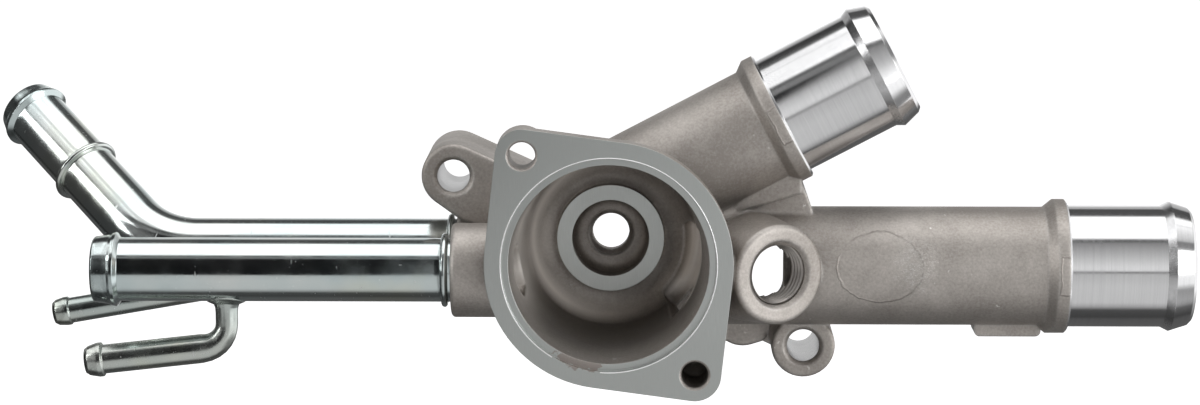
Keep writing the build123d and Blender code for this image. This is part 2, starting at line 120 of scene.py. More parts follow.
def splitVector(tree, vector):
    node = addNode(tree, "ShaderNodeSeparateXYZ")
    feed(tree, vector, node.inputs[0])
    return node.outputs["X"], node.outputs["Y"], node.outputs["Z"]


def rangeNode(tree, value, low, high, toLow=0.0, toHigh=1.0):
    node = addNode(tree, "ShaderNodeMapRange")
    feed(tree, value, node.inputs[0])
    for slot, number in zip((1, 2, 3, 4), (low, high, toLow, toHigh)):
        node.inputs[slot].default_value = number
    return node.outputs[0]


def mixColour(tree, factor, first, second):
    node = addNode(tree, "ShaderNodeMix", data_type="RGBA")
    for slot, value in ((0, factor), (6, first), (7, second)):
        if isinstance(value, (int, float)):
            node.inputs[slot].default_value = value
        elif isinstance(value, tuple):
            node.inputs[slot].default_value = (*value, 1)
        else:
            feed(tree, value, node.inputs[slot])
    return node.outputs[2]


def noiseNode(tree, vector, scale, detail=4.0, roughness=0.55, distortion=0.0):
    node = addNode(tree, "ShaderNodeTexNoise")
    feed(tree, vector, node.inputs["Vector"])
    node.inputs["Scale"].default_value = scale
    node.inputs["Detail"].default_value = detail
    node.inputs["Roughness"].default_value = roughness
    node.inputs["Distortion"].default_value = distortion
    return node.outputs["Fac"]


def stretched(tree, vector, scale, turn=(0, 0, 0), shift=(0, 0, 0)):
    node = addNode(tree, "ShaderNodeMapping")
    feed(tree, vector, node.inputs["Vector"])
    node.inputs["Scale"].default_value = scale
    node.inputs["Rotation"].default_value = turn
    node.inputs["Location"].default_value = shift
    return node.outputs[0]


def objectPlace(tree):
    return addNode(tree, "ShaderNodeTexCoord").outputs["Object"]


def levelRamp(tree, value, steps):
    # grey ramp through (place from 0 to 1, level) steps
    node = addNode(tree, "ShaderNodeValToRGB")
    feed(tree, value, node.inputs[0])
    elements = node.color_ramp.elements
    while len(elements) > 1:
        elements.remove(elements[-1])
    for i, (at, level) in enumerate(steps):
        element = elements[0] if i == 0 else elements.new(at)
        element.position = at
        element.color = (level, level, level, 1)
    return node.outputs[0]


def bumpNode(tree, height, strength, distance, normal=None):
    node = addNode(tree, "ShaderNodeBump")
    feed(tree, height, node.inputs["Height"])
    node.inputs["Strength"].default_value = strength
    node.inputs["Distance"].default_value = distance
    if normal is not None:
        feed(tree, normal, node.inputs["Normal"])
    return node.outputs[0]


def softEdge(tree, radius):
    node = addNode(tree, "ShaderNodeBevel", samples=6)
    node.inputs["Radius"].default_value = radius
    return node.outputs[0]


def edgeWear(tree, rounded, breakUp):
    # the rounded normal leans away from the flat one only near an edge
    flat = addNode(tree, "ShaderNodeNewGeometry").outputs["Normal"]
    lean = addNode(tree, "ShaderNodeVectorMath", operation="DOT_PRODUCT")
    feed(tree, rounded, lean.inputs[0])
    feed(tree, flat, lean.inputs[1])
    near = rangeNode(tree, lean.outputs["Value"], 0.995, 0.93)
    return times(tree, near, rangeNode(tree, breakUp, 0.35, 0.6, 0.3, 1.0))


# node groups shared by the finishes
def groupWith(name, inputs, outputs):
    group = bpy.data.node_groups.new(name, "ShaderNodeTree")
    for label, kind, value in inputs:
        socket = group.interface.new_socket(label, in_out="INPUT", socket_type=kind)
        if value is not None:
            socket.default_value = value
    for label, kind in outputs:
        group.interface.new_socket(label, in_out="OUTPUT", socket_type=kind)
    start = group.nodes.new("NodeGroupInput")
    end = group.nodes.new("NodeGroupOutput")
    return group, start, end


def makeCastGrain():
    # blasted skin: coarse swell plus fine sand grain plus a few shallow pits
    floatKind = "NodeSocketFloat"
    group, start, end = groupWith(
        "castGrain",
        [("Place", "NodeSocketVector", None), ("Grain", floatKind, 1500.0), ("Swell", floatKind, 260.0)],
        [("Height", floatKind), ("Tone", floatKind), ("Nicks", floatKind)],
    )
    place = start.outputs["Place"]
    fine = noiseNode(group, place, 1.0, 3.0, 0.6)
    feed(group, start.outputs["Grain"], fine.node.inputs["Scale"])
    swell = noiseNode(group, place, 1.0, 3.0, 0.5)
    feed(group, start.outputs["Swell"], swell.node.inputs["Scale"])
    blotch = noiseNode(group, place, 42.0, 5.0, 0.62)
    chips = noiseNode(group, place, 520.0, 2.0, 0.5)
    area = noiseNode(group, place, 70.0, 2.0, 0.5)
    nicks = times(group, rangeNode(group, chips, 0.70, 0.76), rangeNode(group, area, 0.5, 0.62))
    height = plus(group, times(group, fine, 0.55), times(group, swell, 0.45))
    height = mathNode(group, "SUBTRACT", height, times(group, nicks, 0.5))
    feed(group, height, end.inputs["Height"])
    tone = plus(group, times(group, blotch, 0.65), times(group, fine, 0.35))
    feed(group, tone, end.inputs["Tone"])
    feed(group, nicks, end.inputs["Nicks"])
    return group


def makeToolMarks():
    # fine lines that run round an axis: noise that only changes along the axis
    floatKind = "NodeSocketFloat"
    group, start, end = groupWith(
        "toolMarks",
        [("Along", "NodeSocketVector", None), ("Pitch", floatKind, 1.0)],
        [("Height", floatKind), ("Tone", floatKind)],
    )
    lines = noiseNode(group, start.outputs["Along"], 1.0, 4.0, 0.7)
    feed(group, start.outputs["Pitch"], lines.node.inputs["Scale"])
    feed(group, lines, end.inputs["Height"])
    feed(group, rangeNode(group, lines, 0.3, 0.7), end.inputs["Tone"])
    return group


def useGroup(tree, group, vector):
    node = addNode(tree, "ShaderNodeGroup", node_tree=group)
    feed(tree, vector, node.inputs[0])
    return node


castGrain = makeCastGrain()
toolMarks = makeToolMarks()

# finishes of the casting
castFinish = {
    "dark": (0.35, 0.322, 0.297),
    "light": (0.535, 0.50, 0.468),
    "nick": (0.8, 0.79, 0.77),
    "roughness": 0.5,
    "metallic": 0.9,
    # colour of the ejector and parting lines, also the colour of the painted shade in corners and on the
    # chamber walls
    "core": (0.20, 0.18, 0.165),
    # colour of the painted highlights in the chamber
    "paintedSheen": (0.88, 0.83, 0.775),
    # painted shade in the inner corners: its strength and reach
    "cornerShade": 0.6,
    "cornerShadeReach": 0.007,
    # strengths of the painted chamber shade and highlights, and the metallic of the highlights
    "coreDull": 0.8,
    "coreClean": 1.0,
    "sheenMetallic": 0.4,
    "edgeWear": 0.35,
    "grainDepth": 0.00012,
    "edgeSoftness": 0.0013,
}
raisedTurn = math.radians(27.7)

# oval left by an ejector on the level arm, with a scuffed patch in its right half
ejectorMark = {
    "x": 0.0716,
    "z": -0.0032,
    "halfWidth": 0.0114,
    "halfHeight": 0.0092,
    "front": 0.024,
    "lineWidth": 0.035,
    "scuffAcross": 0.78,
}


def makeEjectorMark(tree, place, mark):
    # distance from the centre in its own half sizes: the line lies where that is 1
    x, y, z = splitVector(tree, place)
    across = mathNode(tree, "DIVIDE", mathNode(tree, "SUBTRACT", x, mark["x"]), mark["halfWidth"])
    upward = mathNode(tree, "DIVIDE", mathNode(tree, "SUBTRACT", z, mark["z"]), mark["halfHeight"])
    facing = mathNode(tree, "LESS_THAN", y, mark["front"])
    waver = rangeNode(tree, noiseNode(tree, place, 330.0, 3.0, 0.6), 0.3, 0.7, -0.03, 0.03)
    reach = plus(tree, hypotenuse(tree, across, upward), waver)
    broken = rangeNode(tree, noiseNode(tree, place, 120.0, 2.0, 0.5), 0.38, 0.5, 0.25, 1.0)
    line = rangeNode(tree, distanceFrom(tree, reach, 1.0), mark["lineWidth"], 0.0)
    line = times(tree, line, facing, broken)
    scuff = noiseNode(tree, stretched(tree, place, (1, 1, 2.2), (0, 0.5, 0)), 900.0, 5.0, 0.75, 1.5)
    patch = rangeNode(tree, distanceFrom(tree, across, mark["scuffAcross"]), 0.6, 0.1)
    patch = times(tree, patch, rangeNode(tree, mathNode(tree, "ABSOLUTE", upward), 1.0, 0.2), facing)
    return line, times(tree, patch, rangeNode(tree, scuff, 0.5, 0.62))


# a tab between two parting lines on the front of each collar
collarTabs = {
    "halfWidth": 0.0051,
    "lineWidth": 0.00035,
    "front": 0.021,
    "level": {"axis": -0.005, "begin": 0.1191},
    "raised": {"axis": 0.01005, "begin": 0.0545},
}


def makeCollarSeams(tree, place, tabs):
    # lines at the half width on both sides of the arm's axis, joined by a line across at the tab's foot
    depth = splitVector(tree, place)[1]
    wander = rangeNode(tree, noiseNode(tree, place, 260.0, 3.0, 0.6), 0.3, 0.7, -0.0003, 0.0003)
    half, width = tabs["halfWidth"], tabs["lineWidth"]
    found = []
    for arm, turn in (("level", 0.0), ("raised", raisedTurn)):
        along, _, height = splitVector(tree, stretched(tree, place, (1, 1, 1), (0, turn, 0)))
        begin = tabs[arm]["begin"]
        aside = distanceFrom(tree, height, tabs[arm]["axis"])
        side = rangeNode(tree, distanceFrom(tree, plus(tree, aside, wander), half), width, 0.0)
        side = times(tree, side, mathNode(tree, "GREATER_THAN", along, begin))
        foot = rangeNode(tree, distanceFrom(tree, plus(tree, along, wander), begin), width, 0.0)
        foot = times(tree, foot, mathNode(tree, "LESS_THAN", aside, half))
        found.append(mathNode(tree, "MAXIMUM", side, foot))
    seams = mathNode(tree, "MAXIMUM", *found)
    return times(tree, seams, mathNode(tree, "LESS_THAN", depth, tabs["front"]))


# masks for painted shade and painted highlights in the thermostat chamber: places in metres and leans of the
# surface, from none to full
chamberShading = {
    "rim": (0.029, 0.0275),
    "mouth": (0.001, 0.02),
    "wallLean": (-0.3, -0.1, 0.25, 1.0),
    "lowPart": (0.004, -0.014, 0.1, 1.0),
    "footToWall": (-0.15, -0.62),
    "footToFloor": (-0.96, -0.66),
    "footRing": (0.0165, 0.0195),
    "footSide": (0.01, -0.012, 0.15, 1.0),
    "leftSide": (-0.014, -0.022, 0.0, 0.7),
    "leftLow": (-0.02, -0.008),
    "pocketSide": (0.012, 0.016),
    "pocketRing": (0.0205, 0.0225),
    "pocketDepth": (0.0215, 0.024),
    "pocketTop": (0.007, 0.003),
    "pocketLow": (-0.0165, -0.012),
}


def makeChamberMasks(tree, place, skin):
    # painted shade darkens the walls, most at their lower part; painted highlights lighten their foot, the
    # left wall and the side pocket
    x, y, z = splitVector(tree, place)
    lean = splitVector(tree, addNode(tree, "ShaderNodeNewGeometry").outputs["Normal"])[1]
    ring = hypotenuse(tree, x, z)

    def mask(*parts):
        return times(tree, *(rangeNode(tree, value, *skin[name]) for value, name in parts))

    inside = mask((ring, "rim"), (y, "mouth"))
    paintedWallShade = times(tree, inside, mask((lean, "wallLean"), (z, "lowPart")))
    foot = mask((lean, "footToWall"), (lean, "footToFloor"), (ring, "footRing"), (x, "footSide"))
    leftWall = mask((x, "leftSide"), (z, "leftLow"))
    pocket = mask((x, "pocketSide"), (ring, "pocketRing"), (y, "pocketDepth"))
    pocket = times(tree, pocket, mask((z, "pocketTop"), (z, "pocketLow")))
    paintedSheen = mathNode(tree, "MAXIMUM", foot, mathNode(tree, "MAXIMUM", leftWall, pocket))
    return paintedWallShade, times(tree, paintedSheen, inside)


def makeCastSkin(name, finish):
    material, tree, shader = newMaterial(name)
    place = objectPlace(tree)
    grain = useGroup(tree, castGrain, place)
    tone = rangeNode(tree, grain.outputs["Tone"], 0.39, 0.63)
    colour = mixColour(tree, tone, finish["dark"], finish["light"])
    colour = mixColour(tree, grain.outputs["Nicks"], colour, finish["nick"])
    line, patch = makeEjectorMark(tree, place, ejectorMark)
    colour = mixColour(tree, times(tree, patch, 0.9), colour, finish["nick"])
    colour = mixColour(tree, times(tree, line, 0.3), colour, finish["core"])
    # painted shade: the colour darkens towards the core colour in the inner corners, driven by ambient
    # occlusion
    corner = addNode(tree, "ShaderNodeAmbientOcclusion", samples=6)
    corner.inputs["Distance"].default_value = finish["cornerShadeReach"]
    cornerShade = rangeNode(tree, corner.outputs["AO"], 0.4, 0.86, finish["cornerShade"], 0.0)
    colour = mixColour(tree, cornerShade, colour, finish["core"])
    seams = makeCollarSeams(tree, place, collarTabs)
    colour = mixColour(tree, times(tree, seams, 0.55), colour, finish["core"])
    # painted shade on the chamber walls; painted highlights, also less metallic, on their foot, left wall and
    # side pocket
    paintedWallShade, paintedSheen = makeChamberMasks(tree, place, chamberShading)
    paintedSheen = times(tree, paintedSheen, finish["coreClean"])
    colour = mixColour(tree, times(tree, paintedWallShade, finish["coreDull"]), colour, finish["core"])
    colour = mixColour(tree, paintedSheen, colour, finish["paintedSheen"])
    rounded = softEdge(tree, finish["edgeSoftness"])
    worn = edgeWear(tree, rounded, grain.outputs["Tone"])
    colour = mixColour(tree, times(tree, worn, finish["edgeWear"]), colour, finish["nick"])
    feed(tree, colour, shader.inputs["Base Color"])
    metal = rangeNode(tree, paintedSheen, 0.0, 1.0, finish["metallic"], finish["sheenMetallic"])
    feed(tree, metal, shader.inputs["Metallic"])
    rough = finish["roughness"]
    rough = rangeNode(tree, grain.outputs["Tone"], 0.3, 0.7, rough + 0.07, rough - 0.05)
    feed(tree, rough, shader.inputs["Roughness"])
    height = plus(tree, grain.outputs["Height"], times(tree, plus(tree, line, patch, seams), 1.2))
    feed(tree, bumpNode(tree, height, 0.8, finish["grainDepth"], rounded), shader.inputs["Normal"])
    return material


machinedFinish = {
    "dark": (0.50, 0.52, 0.505),
    "light": (0.62, 0.64, 0.622),
    "roughness": 0.34,
    "roughSpread": 0.05,
    "metallic": 1.0,
    "markDepth": 0.00001,
    "edgeSoftness": 0.00025,
}
neckFinish = {
    "dark": (0.70, 0.70, 0.71),
    "light": (0.88, 0.88, 0.885),
    "roughness": 0.13,
    "roughSpread": 0.05,
    "metallic": 1.0,
    "markDepth": 0.000012,
    "edgeSoftness": 0.00015,
}

# scrap of cast skin that the cutter missed on the seat
leftover = {
    "x": -0.0078,
    "z": -0.0252,
    "halfWidth": 0.0062,
    "halfHeight": 0.0021,
    "colour": (0.40, 0.36, 0.335),
    "rougher": 0.15,
}


def makeMachined(name, finish, lineScale, turn=0.0, patch=None):
    # tool lines square to an axis that is turned in the picture's plane
    material, tree, shader = newMaterial(name)
    place = stretched(tree, objectPlace(tree), (1, 1, 1), (0, turn, 0))
    lines = useGroup(tree, toolMarks, stretched(tree, place, lineScale))
    cloud = noiseNode(tree, place, 60.0, 4.0, 0.6)
    tone = plus(tree, times(tree, lines.outputs["Tone"], 0.45), times(tree, cloud, 0.55))
    colour = mixColour(tree, tone, finish["dark"], finish["light"])
    rough, spread = finish["roughness"], finish["roughSpread"]
    rough = rangeNode(tree, tone, 0.3, 0.7, rough + spread, rough - spread)
    if patch:
        x, _, z = splitVector(tree, place)
        # painted shade: the face is darker above and below a band along its middle
        height = mathNode(tree, "ABSOLUTE", z)
        colour = mixColour(tree, rangeNode(tree, height, 0.012, 0.03, 0.0, 0.55), colour, finish["dark"])
        # the scrap: distance from its centre in half sizes, with a ragged edge
        across = mathNode(tree, "DIVIDE", mathNode(tree, "SUBTRACT", x, patch["x"]), patch["halfWidth"])
        upward = mathNode(tree, "DIVIDE", mathNode(tree, "SUBTRACT", z, patch["z"]), patch["halfHeight"])
        ragged = rangeNode(tree, noiseNode(tree, place, 420.0, 4.0, 0.6), 0.3, 0.7, -0.35, 0.35)
        reach = hypotenuse(tree, across, plus(tree, upward, times(tree, across, 0.8)))
        missed = rangeNode(tree, plus(tree, reach, ragged), 1.0, 0.9)
        colour = mixColour(tree, missed, colour, patch["colour"])
        rough = plus(tree, rough, times(tree, missed, patch["rougher"]))
    feed(tree, colour, shader.inputs["Base Color"])
    shader.inputs["Metallic"].default_value = finish["metallic"]
    feed(tree, rough, shader.inputs["Roughness"])
    rounded = softEdge(tree, finish["edgeSoftness"])
    bump = bumpNode(tree, lines.outputs["Height"], 0.4, finish["markDepth"], rounded)
    feed(tree, bump, shader.inputs["Normal"])
    return material


boredFinish = {**machinedFinish, "dark": (0.42, 0.42, 0.42), "light": (0.6, 0.6, 0.6), "roughness": 0.3}
threadFinish = {**machinedFinish, "dark": (0.4, 0.37, 0.345), "light": (0.6, 0.57, 0.54), "roughness": 0.36}
threadFinish["metallic"] = 0.9
# painted highlight: the seat bead is near white and less metallic so that it reads bright
burrHighlightFinish = {**neckFinish, "dark": (0.9, 0.9, 0.9), "light": (0.98, 0.98, 0.98), "roughness": 0.34}
burrHighlightFinish["metallic"] = 0.75
castSkin = makeCastSkin("castSkin", castFinish)
milledFace = makeMachined("milledFace", machinedFinish, (5200, 1, 260), patch=leftover)
boredWall = makeMachined("boredWall", boredFinish, (40, 5000, 40))
turnedLevel = makeMachined("turnedLevelNeck", neckFinish, (6000, 30, 30))
raisedFinish = {**neckFinish, "roughness": 0.14, "roughSpread": 0.04}
turnedRaised = makeMachined("turnedRaisedNeck", raisedFinish, (6000, 30, 30), raisedTurn)
threadWall = makeMachined("threadWall", threadFinish, (400, 400, 400))
burrHighlight = makeMachined("burrHighlight", burrHighlightFinish, (400, 400, 400))
crestFlank = makeMachined("crestFlank", {**neckFinish, "roughness": 0.24}, (400, 400, 400))
print("casting finishes made")

# places on the casting, in millimetres, that take a machined finish, and where its collars are narrowed
castingPlaces = {
    "seatRadius": 28.0,
    "seatInner": 25.5,
    "seatDepth": 1.6,
    "valveFaceDepth": 46.0,
    "valveFaceRadius": 14.8,
    "engineFaceDepth": 62.0,
    "armDepth": 32.0,
    "levelArmHeight": -5.0,
    "levelShoulder": 121.4,
    "raisedArmHeight": 11.35,
    "raisedShoulder": 51.7,
    "boreRadius": 13.2,
    "neckRadius": 19.0,
    "collarShift": 1.9,
    "collarBlend": (-7.5, -4.6),
    "collarSkin": (15.85, 18.05),
    "padTop": -14.5,
    "padHalfWidth": 9.0,
    "ears": ((-42.0, 19.0), (52.1, -27.0)),
    "earHole": 5.6,
    "sensor": (44.7, 8.8, -3.7),
    "sensorTurn": 28.0,
}


def faceCentres(mesh):
    count = len(mesh.polygons)
    centre = np.zeros(count * 3)
    normal = np.zeros(count * 3)
    mesh.polygons.foreach_get("center", centre)
    mesh.polygons.foreach_get("normal", normal)
    return centre.reshape(-1, 3) / mm, normal.reshape(-1, 3)


def armWays(turn):
    # along the arm, and square to it in the picture's plane
    return np.array((math.cos(turn), 0, math.sin(turn))), np.array((-math.sin(turn), 0, math.cos(turn)))


def armPlace(points, turn, height, places):
    # distance along the arm and away from its axis, and the place measured from the axis' root
    way, up = armWays(turn)
    local = points - np.array((0, places["armDepth"], height))
    return local @ way, np.hypot(local[:, 1], local @ up), local


def narrowCollars(mesh, places):
    # the collars' left corners lie nearer to the necks in the picture than in the solid
    spots = np.zeros(len(mesh.vertices) * 3)
    mesh.vertices.foreach_get("co", spots)
    spots = spots.reshape(-1, 3)
    near, far = places["collarBlend"]
    inner, outer = places["collarSkin"]
    for turn, height, shoulder in (
        (0.0, places["levelArmHeight"], places["levelShoulder"]),
        (raisedTurn, places["raisedArmHeight"], places["raisedShoulder"]),
    ):
        along, away, local = armPlace(spots / mm, turn, height, places)
        corner = (along > shoulder + near) & (along < shoulder + far) & (away > inner) & (away < outer)
        low = (turn == 0) & (local[:, 2] < places["padTop"])
        onPad = low & (np.abs(local[:, 1]) < places["padHalfWidth"])
        spots[corner & ~onPad] += places["collarShift"] * mm * armWays(turn)[0]
    mesh.vertices.foreach_set("co", spots.ravel())
    mesh.update()


def dressCasting(places):
    # a copy of the casting, each face given the finish of the surface it belongs to
    mesh = nodes["housing"].data.copy()
    mesh.name = "castingSkin"
    centre, normal = faceCentres(mesh)
    x, y, z = centre.T
    finish = np.zeros(len(centre), dtype=np.int32)
    ring = np.hypot(x, z)
    facing = normal[:, 1] < -0.9
    front = (np.abs(y) < 0.02) & facing
    seat = (ring > places["seatInner"]) & (ring < places["seatRadius"] + 0.1)
    seat = seat & (y < places["seatDepth"] + 0.05)
    valve = (np.abs(y - places["valveFaceDepth"]) < 0.05) & (ring < places["valveFaceRadius"]) & facing
    back = (np.abs(y - places["engineFaceDepth"]) < 0.05) & (normal[:, 1] > 0.9)
    finish[front | seat | valve | back] = 1
    for hx, hz in places["ears"]:
        finish[(np.hypot(x - hx, z - hz) < places["earHole"]) & (np.abs(normal[:, 1]) < 0.1)] = 2
    level, levelAway, _ = armPlace(centre, 0.0, places["levelArmHeight"], places)
    finish[(level > places["levelShoulder"]) & (levelAway > places["boreRadius"])] = 3
    raised, raisedAway, _ = armPlace(centre, raisedTurn, places["raisedArmHeight"], places)
    neck = (raisedAway > places["boreRadius"]) & (raisedAway < places["neckRadius"])
    finish[(raised > places["raisedShoulder"]) & neck] = 4
    # the crests' flanks lean back along their neck
    tilted = normal @ armWays(raisedTurn)[0]
    leaning = np.where(finish == 3, normal[:, 0], np.where(finish == 4, tilted, 0))
    finish[(leaning < -0.3) & (leaning > -0.97)] = 5
    mesh.materials.clear()
    for material in (castSkin, milledFace, boredWall, turnedLevel, turnedRaised, crestFlank):
        mesh.materials.append(material)
    mesh.polygons.foreach_set("material_index", finish)
    narrowCollars(mesh, places)
    casting = bpy.data.objects.new("castingSkin", mesh)
    bpy.context.scene.collection.objects.link(casting)
    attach(casting, "root")
    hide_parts("housing")


dressCasting(castingPlaces)
print("casting dressed")


def gridQuads(rings, around, joined=False):
    # quads between neighbouring rings, each closed on itself; joined also ties the last ring to the first
    index = np.arange(rings * around).reshape(rings, around)
    a, b = (index, np.roll(index, -1, axis=0)) if joined else (index[:-1], index[1:])
    return np.stack([a, np.roll(a, -1, axis=1), np.roll(b, -1, axis=1), b], axis=-1)


def newPiece(name, verts, quads, material, uv=None):
    mesh = bpy.data.meshes.new(name)
    mesh.vertices.add(len(verts))
    mesh.vertices.foreach_set("co", (verts * mm).astype(np.float32).ravel())
    mesh.loops.add(quads.size)
    mesh.loops.foreach_set("vertex_index", quads.ravel().astype(np.int32))
    mesh.polygons.add(len(quads))
    mesh.polygons.foreach_set("loop_start", np.arange(0, quads.size, 4, dtype=np.int32))
    mesh.update(calc_edges=True)
    mesh.validate()
    if uv is not None:
        layer = mesh.uv_layers.new(name="tubeMap")
        layer.data.foreach_set("uv", uv[quads.ravel()].astype(np.float32).ravel())
    mesh.shade_smooth()
    mesh.materials.append(material)
    piece = bpy.data.objects.new(name, mesh)
    bpy.context.scene.collection.objects.link(piece)
    return piece


# burr round the seat, painted near white and less metallic as a highlight: a half round bead, (radius + r cos
# a, -r sin a), turned about the y axis
seatEdge = {"radius": 28.18, "bead": 0.16, "gapFrom": -122, "gapTo": -96}


def makeSeatEdge(sizes):
    turn = np.radians(np.linspace(0, 360, 241)[:-1])
    bend = np.radians(np.linspace(-12, 192, 11))[:, None]
    radius = sizes["radius"] + sizes["bead"] * np.cos(bend)
    depth = np.repeat(-sizes["bead"] * np.sin(bend), len(turn), axis=1)
    verts = np.stack([radius * np.cos(turn), depth, radius * np.sin(turn)], axis=-1).reshape(-1, 3)
    degrees = np.degrees(turn)
    kept = (degrees < 360 + sizes["gapFrom"]) | (degrees > 360 + sizes["gapTo"])
    quads = gridQuads(len(bend), len(turn))[:, kept].reshape(-1, 4)
    piece = newPiece("seatEdge", verts, quads, burrHighlight)
    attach(piece, "root")


makeSeatEdge(seatEdge)
print("seat edge turned")

# zinc plated tubes
plateFinish = {
    "steel": (0.72, 0.75, 0.735),
    "blue": (0.60, 0.68, 0.68),
    "straw": (0.72, 0.74, 0.62),
    "scratch": (0.9, 0.92, 0.92),
    "roughness": 0.14,
    "scratchDepth": 0.000008,
}


def makePlate(name, finish):
    material, tree, shader = newMaterial(name)
    wrap = addNode(tree, "ShaderNodeUVMap", uv_map="tubeMap").outputs[0]
    place = objectPlace(tree)
    film = noiseNode(tree, place, 34.0, 3.0, 0.5)
    colour = mixColour(tree, rangeNode(tree, film, 0.42, 0.62), finish["steel"], finish["blue"])
    other = noiseNode(tree, stretched(tree, place, (1, 1, 1), (0, 0, 0), (3.1, 0.7, 1.9)), 48.0, 3.0, 0.5)
    colour = mixColour(tree, rangeNode(tree, other, 0.52, 0.72, 0.0, 0.7), colour, finish["straw"])
    # drawn lines run along the tube, short scratches lie across them, specks are dull
    drawn = noiseNode(tree, stretched(tree, wrap, (9, 260, 1)), 1.0, 4.0, 0.7)
    smudge = noiseNode(tree, place, 150.0, 5.0, 0.65)
    across = noiseNode(tree, stretched(tree, wrap, (900, 9, 1), (0, 0, 0.35)), 1.0, 2.0, 0.5)
    gate = noiseNode(tree, stretched(tree, wrap, (110, 6, 1)), 1.0, 2.0, 0.5)
    scratch = times(tree, rangeNode(tree, across, 0.68, 0.74), rangeNode(tree, gate, 0.52, 0.62))
    specks = rangeNode(tree, noiseNode(tree, place, 1400.0, 2.0, 0.5), 0.73, 0.78)
    marks = mathNode(tree, "MAXIMUM", scratch, specks)
    tint = mixColour(tree, rangeNode(tree, drawn, 0.35, 0.7, 0.0, 0.35), colour, finish["blue"])
    feed(tree, mixColour(tree, times(tree, marks, 0.6), tint, finish["scratch"]), shader.inputs["Base Color"])
    shader.inputs["Metallic"].default_value = 1.0
    rough = plus(tree, rangeNode(tree, smudge, 0.35, 0.7, 0.0, 0.1), finish["roughness"] - 0.03)
    feed(tree, plus(tree, rough, times(tree, marks, 0.35)), shader.inputs["Roughness"])
    height = plus(tree, times(tree, drawn, 0.8), times(tree, marks, -0.6))
    feed(tree, bumpNode(tree, height, 0.35, finish["scratchDepth"]), shader.inputs["Normal"])
    return material


dullFinish = {**plateFinish, "steel": (0.62, 0.64, 0.60), "blue": (0.52, 0.58, 0.56), "roughness": 0.22}
zincPlate = makePlate("zincPlate", plateFinish)
dullPlate = makePlate("dullPlate", dullFinish)


def unitVector(vector):
    vector = np.asarray(vector, float)
    return vector / np.linalg.norm(vector)


def routeFrames(route, distance):
    # a straight run, one tangent arc and a second run; centre, tangent and side at each distance
    start, corner = np.array(route["start"]), np.array(route["corner"])
    away = unitVector(route["away"])
    first = unitVector(corner - start)
    turn = math.acos(float(np.clip(first @ away, -1, 1)))
    if turn < 1e-6:
        side = unitVector(np.cross(first, (0, 1, 0)))
        centre = start + np.outer(distance, first)
        tangent, inward = (np.tile(way, (len(distance), 1)) for way in (first, side))
        return centre, tangent, inward, np.cross(first, side)
    side = unitVector(away - first * math.cos(turn))
    radius = route["radius"]
    used = radius * math.tan(turn / 2)
    run = np.linalg.norm(corner - start) - used
    arc = radius * turn
    angle = np.clip((distance - run) / radius, 0, turn)[:, None]
    hub = start + first * run + side * radius
    tangent = first * np.cos(angle) + side * np.sin(angle)
    inward = side * np.cos(angle) - first * np.sin(angle)
    centre = hub - inward * radius
    centre = centre + tangent * np.minimum(distance - run, 0)[:, None]
    centre = centre + tangent * np.maximum(distance - run - arc, 0)[:, None]
    return centre, tangent, inward, np.cross(first, side)


def softened(points, step, blur):
    # resamples an outline evenly and averages neighbours, which rounds its corners
    points = np.array(points, float)
    gaps = np.hypot(*np.diff(points, axis=0).T)
    reach = np.concatenate(([0], np.cumsum(gaps)))
    count = max(8, int(reach[-1] / step))
    even = np.linspace(0, reach[-1], count)
    fine = np.stack([np.interp(even, reach, points[:, 0]), np.interp(even, reach, points[:, 1])], axis=1)
    width = max(1, int(blur / (reach[-1] / count)))
    if width > 1:
        padded = np.pad(fine, ((width, width), (0, 0)), mode="edge")
        kernel = np.hanning(2 * width + 1)
        kernel /= kernel.sum()
        smooth = np.stack([np.convolve(padded[:, i], kernel, "valid") for i in (0, 1)], axis=1)
        smooth[0], smooth[-1] = fine[0], fine[-1]
        fine = smooth
    return fine


def thinned(points, tolerance, longest=1.5):
    # drops samples on straight stretches: keeps one where the slope has changed or the gap grows too long
    keep = [0]
    for i in range(1, len(points) - 1):
        a, b, c = points[keep[-1]], points[i], points[i + 1]
        bendHere = abs((b[0] - a[0]) * (c[1] - a[1]) - (b[1] - a[1]) * (c[0] - a[0]))
        if bendHere > tolerance * np.hypot(*(c - a)) or np.hypot(*(b - a)) > longest:
            keep.append(i)
    keep.append(len(points) - 1)
    return points[keep]


def sweptTube(name, route, profile, around, node, plate, saddle=None):
    # each outline sample (distance, radius) becomes a ring round the route
    distance, radius = profile[:, 0], profile[:, 1]
    centre, tangent, inward, across = routeFrames(route, distance)
    angle = np.linspace(0, 2 * math.pi, around, endpoint=False)
    spoke = np.cos(angle)[None, :, None] * inward[:, None, :] + np.sin(angle)[None, :, None] * across
    verts = centre[:, None, :] + radius[:, None, None] * spoke
    if saddle is not None:
        # rings at the root slide along the tube until they lie on the tube it is brazed to
        first = unitVector(np.array(route["corner"]) - np.array(route["start"]))
        sideways = (verts - np.array(saddle["point"])) @ unitVector(np.cross(saddle["axis"], first))
        fall = saddle["radius"] - np.sqrt(np.maximum(saddle["radius"] ** 2 - sideways ** 2, 0))
        fade = np.clip(1 - (distance - saddle["radius"]) / 4.0, 0, 1)
        verts = verts - (fall * fade[:, None])[:, :, None] * tangent[:, None, :]
    uv = np.stack([np.repeat(distance * mm, around), np.tile(angle / (2 * math.pi), len(distance))], axis=1)
    quads = gridQuads(len(distance), around, joined=True).reshape(-1, 4)
    piece = newPiece(name, verts.reshape(-1, 3), quads, plate, uv)
    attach(piece, "root")
    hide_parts(node)


def ringBead(at, root, crest, width):
    # a rolled bead: up, over a half round and down again
    angle = np.linspace(0, math.pi, 9)
    half = width / 2
    top = crest - half
    arch = [(at - half * math.cos(a), top + half * math.sin(a)) for a in angle]
    before = [(at - half - 0.15, root), (at - half, root + 0.15)]
    after = [(at + half, root + 0.15), (at + half + 0.15, root)]
    return before + arch + after


